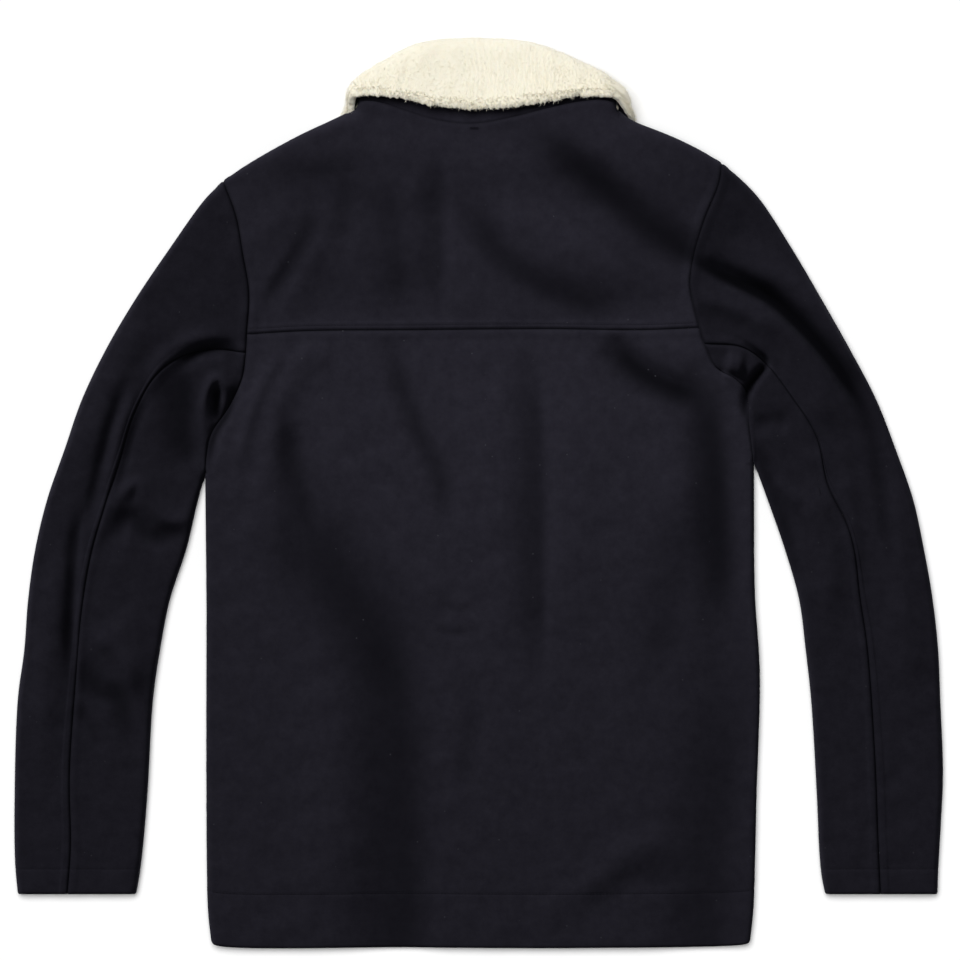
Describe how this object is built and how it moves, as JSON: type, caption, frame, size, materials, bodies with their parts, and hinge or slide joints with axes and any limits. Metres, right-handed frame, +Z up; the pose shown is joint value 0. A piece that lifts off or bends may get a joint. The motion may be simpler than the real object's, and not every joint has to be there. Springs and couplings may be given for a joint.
{
  "type": "wool jacket with pile collar",
  "caption": "Hip-length dark wool jacket with a deep pile collar and long sleeves, laid flat on its front with the back up.",
  "frame": {"origin": "on the surface that the jacket lies on, under the middle of its box", "axes": "+X to the right of the back seen from above, +Y from hem to collar, +Z up from the surface"},
  "size_m": [0.8542, 0.8369, 0.0425],
  "materials": {
    "wool_melton": "matte, brushed",
    "pile_fleece": "deep curly pile"
  },
  "bodies": {
    "root": {"yoke": "wool_melton", "back_panel": "wool_melton", "front_left": "wool_melton", "front_right": "wool_melton", "top_sleeve_left": "wool_melton", "top_sleeve_right": "wool_melton", "under_sleeve_left": "wool_melton", "under_sleeve_right": "wool_melton", "under_collar": "wool_melton", "collar_pile": "pile_fleece"}
  },
  "joints": []
}
